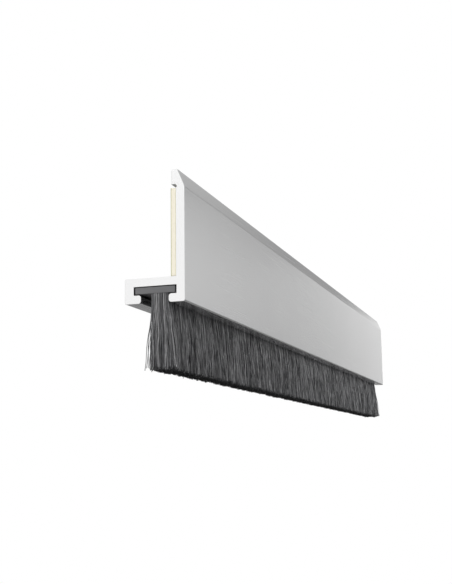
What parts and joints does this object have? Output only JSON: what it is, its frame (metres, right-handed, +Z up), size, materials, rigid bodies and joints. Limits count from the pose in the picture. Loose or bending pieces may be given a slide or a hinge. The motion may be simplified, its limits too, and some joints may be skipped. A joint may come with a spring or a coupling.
{
  "type": "brush door sweep",
  "caption": "Self-adhesive aluminium door bottom seal with a sliding brush insert that closes the gap under a door against draughts, dust and light.",
  "frame": {"origin": "middle of the adhesive face that sticks to the door, at half the length", "axes": "+X along the seal, +Y out of the adhesive face towards the door (the room side is -Y), +Z up"},
  "size_m": [0.25, 0.0136, 0.0426],
  "materials": {
    "anodised_aluminium": "satin silver anodised, fine extrusion lines along the length, saw-cut bright ends",
    "back_plastic": "moulded dark grey polypropylene",
    "filaments": "black-grey crimped polyamide filaments, slight sheen",
    "foam": "closed-cell foam, off-white",
    "adhesive": "tacky acrylic coat, slightly glossy",
    "liner": "siliconised paper, pale yellow"
  },
  "bodies": {
    "carrier": {"carrier_profile": "anodised_aluminium", "tape_adhesive_inner": "adhesive", "tape_foam": "foam", "tape_adhesive_outer": "adhesive"},
    "brush_strip": {"brush_back": "back_plastic", "bristle_roots": "filaments"},
    "free_bristles": {"bristle_tips": "filaments"},
    "liner": {"release_liner": "liner"}
  },
  "joints": [
    {"name": "brush_slide", "type": "slide", "parent": "carrier", "child": "brush_strip", "axis": [1, 0, 0], "range_m": [-0.23, 0.23]},
    {"name": "bristle_flex", "type": "hinge", "parent": "brush_strip", "child": "free_bristles", "pos_m": [0, 0.00273, -0.01693], "axis": [1, 0, 0], "range_deg": [-35, 35], "stiffness_Nm_per_rad": 0.04},
    {"name": "liner_peel", "type": "hinge", "parent": "carrier", "child": "liner", "pos_m": [0.125, 0.00008, 0], "axis": [0, 0, -1], "range_deg": [0, 90]}
  ]
}
